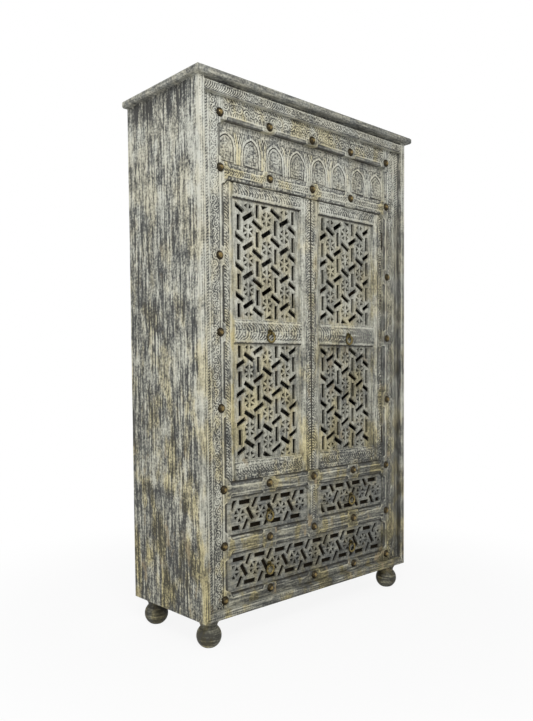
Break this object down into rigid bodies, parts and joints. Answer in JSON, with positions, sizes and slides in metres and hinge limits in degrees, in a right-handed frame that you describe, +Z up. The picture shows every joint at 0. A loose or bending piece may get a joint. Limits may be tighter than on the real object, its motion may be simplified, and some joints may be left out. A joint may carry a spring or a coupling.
{
  "type": "carved two-door cabinet",
  "caption": "Tall carved wooden cabinet on ball feet, with a pair of pierced doors over drawers, a row of pointed arches and domed studs.",
  "frame": {"origin": "on the floor, under the middle of the cabinet's outline", "axes": "+Z up, -Y out of the front, +X to the right of someone facing the front"},
  "size_m": [1.06, 0.418, 1.79],
  "materials": {
    "carved_limed_wood": "carved, lime-washed grey and cream over ochre, worn",
    "plain_limed_wood": "plain boards, lime-washed grey with dark vertical streaks",
    "pierced_wood": "pierced and lime-washed, worn",
    "inner_boards": "plain, dark, unpainted",
    "turned_feet": "turned, thinly limed over brown and ochre",
    "bronze_studs": "aged bronze with bright worn tops",
    "brass_pulls": "worn brass",
    "hinge_iron": "dark aged steel"
  },
  "bodies": {
    "carcass": {"arch_panel": "carved_limed_wood", "back_panel": "inner_boards", "border_bottom": "carved_limed_wood", "border_left": "carved_limed_wood", "border_right": "carved_limed_wood", "bottom_board": "inner_boards", "bottom_rail": "carved_limed_wood", "corner_blocks": "carved_limed_wood", "cornice": "plain_limed_wood", "cornice_strip": "carved_limed_wood", "drawer_divider": "carved_limed_wood", "drawer_rail": "carved_limed_wood", "drawer_runners": "inner_boards", "foot_back_left": "turned_feet", "foot_back_right": "turned_feet", "foot_front_left": "turned_feet", "foot_front_right": "turned_feet", "frame_hinge_leaves": "hinge_iron", "frame_studs": "bronze_studs", "frieze_rail": "carved_limed_wood", "head_rail": "carved_limed_wood", "middle_rail": "carved_limed_wood", "shelf_boards": "inner_boards", "side_panel_left": "plain_limed_wood", "side_panel_right": "plain_limed_wood", "stile_left": "carved_limed_wood", "stile_right": "carved_limed_wood"},
    "left_door": {"left_door_bottom_rail": "carved_limed_wood", "left_door_hinge_leaves": "hinge_iron", "left_door_hinge_stile": "carved_limed_wood", "left_door_lower_jali": "pierced_wood", "left_door_meeting_stile": "carved_limed_wood", "left_door_middle_rail": "carved_limed_wood", "left_door_pull_plate": "brass_pulls", "left_door_top_rail": "carved_limed_wood", "left_door_upper_jali": "pierced_wood"},
    "right_door": {"right_door_bottom_rail": "carved_limed_wood", "right_door_hinge_leaves": "hinge_iron", "right_door_hinge_stile": "carved_limed_wood", "right_door_lower_jali": "pierced_wood", "right_door_meeting_stile": "carved_limed_wood", "right_door_middle_rail": "carved_limed_wood", "right_door_pull_plate": "brass_pulls", "right_door_top_rail": "carved_limed_wood", "right_door_upper_jali": "pierced_wood"},
    "left_small_drawer": {"left_small_drawer_front": "pierced_wood", "left_small_drawer_pull_plate": "brass_pulls", "left_small_drawer_tray": "inner_boards"},
    "right_small_drawer": {"right_small_drawer_front": "pierced_wood", "right_small_drawer_pull_plate": "brass_pulls", "right_small_drawer_tray": "inner_boards"},
    "large_drawer": {"large_drawer_front": "pierced_wood", "large_drawer_pull_plates": "brass_pulls", "large_drawer_tray": "inner_boards"},
    "left_door_ring": {"left_door_ring": "brass_pulls"},
    "right_door_ring": {"right_door_ring": "brass_pulls"},
    "left_small_drawer_ring": {"left_small_drawer_ring": "brass_pulls"},
    "right_small_drawer_ring": {"right_small_drawer_ring": "brass_pulls"},
    "large_drawer_ring_left": {"large_drawer_ring_left": "brass_pulls"},
    "large_drawer_ring_right": {"large_drawer_ring_right": "brass_pulls"}
  },
  "joints": [
    {"name": "left_door_hinge", "type": "hinge", "parent": "carcass", "child": "left_door", "pos_m": [-0.40025, -0.1625, 1.0005], "axis": [0, 0, -1], "range_deg": [0, 100]},
    {"name": "right_door_hinge", "type": "hinge", "parent": "carcass", "child": "right_door", "pos_m": [0.40025, -0.1625, 1.0005], "axis": [0, 0, 1], "range_deg": [0, 100]},
    {"name": "left_small_drawer_slide", "type": "slide", "parent": "carcass", "child": "left_small_drawer", "axis": [0, -1, 0], "range_m": [0, 0.26]},
    {"name": "right_small_drawer_slide", "type": "slide", "parent": "carcass", "child": "right_small_drawer", "axis": [0, -1, 0], "range_m": [0, 0.26]},
    {"name": "large_drawer_slide", "type": "slide", "parent": "carcass", "child": "large_drawer", "axis": [0, -1, 0], "range_m": [0, 0.26]},
    {"name": "left_door_ring_swing", "type": "hinge", "parent": "left_door", "child": "left_door_ring", "pos_m": [-0.20025, -0.1675, 1.0065], "axis": [-1, 0, 0], "range_deg": [0, 85]},
    {"name": "right_door_ring_swing", "type": "hinge", "parent": "right_door", "child": "right_door_ring", "pos_m": [0.20025, -0.1675, 1.0065], "axis": [-1, 0, 0], "range_deg": [0, 85]},
    {"name": "left_small_drawer_ring_swing", "type": "hinge", "parent": "left_small_drawer", "child": "left_small_drawer_ring", "pos_m": [-0.2125, -0.1675, 0.40425], "axis": [-1, 0, 0], "range_deg": [0, 85]},
    {"name": "right_small_drawer_ring_swing", "type": "hinge", "parent": "right_small_drawer", "child": "right_small_drawer_ring", "pos_m": [0.2125, -0.1675, 0.40425], "axis": [-1, 0, 0], "range_deg": [0, 85]},
    {"name": "large_drawer_ring_left_swing", "type": "hinge", "parent": "large_drawer", "child": "large_drawer_ring_left", "pos_m": [-0.2125, -0.1675, 0.22225], "axis": [-1, 0, 0], "range_deg": [0, 85]},
    {"name": "large_drawer_ring_right_swing", "type": "hinge", "parent": "large_drawer", "child": "large_drawer_ring_right", "pos_m": [0.2125, -0.1675, 0.22225], "axis": [-1, 0, 0], "range_deg": [0, 85]}
  ]
}
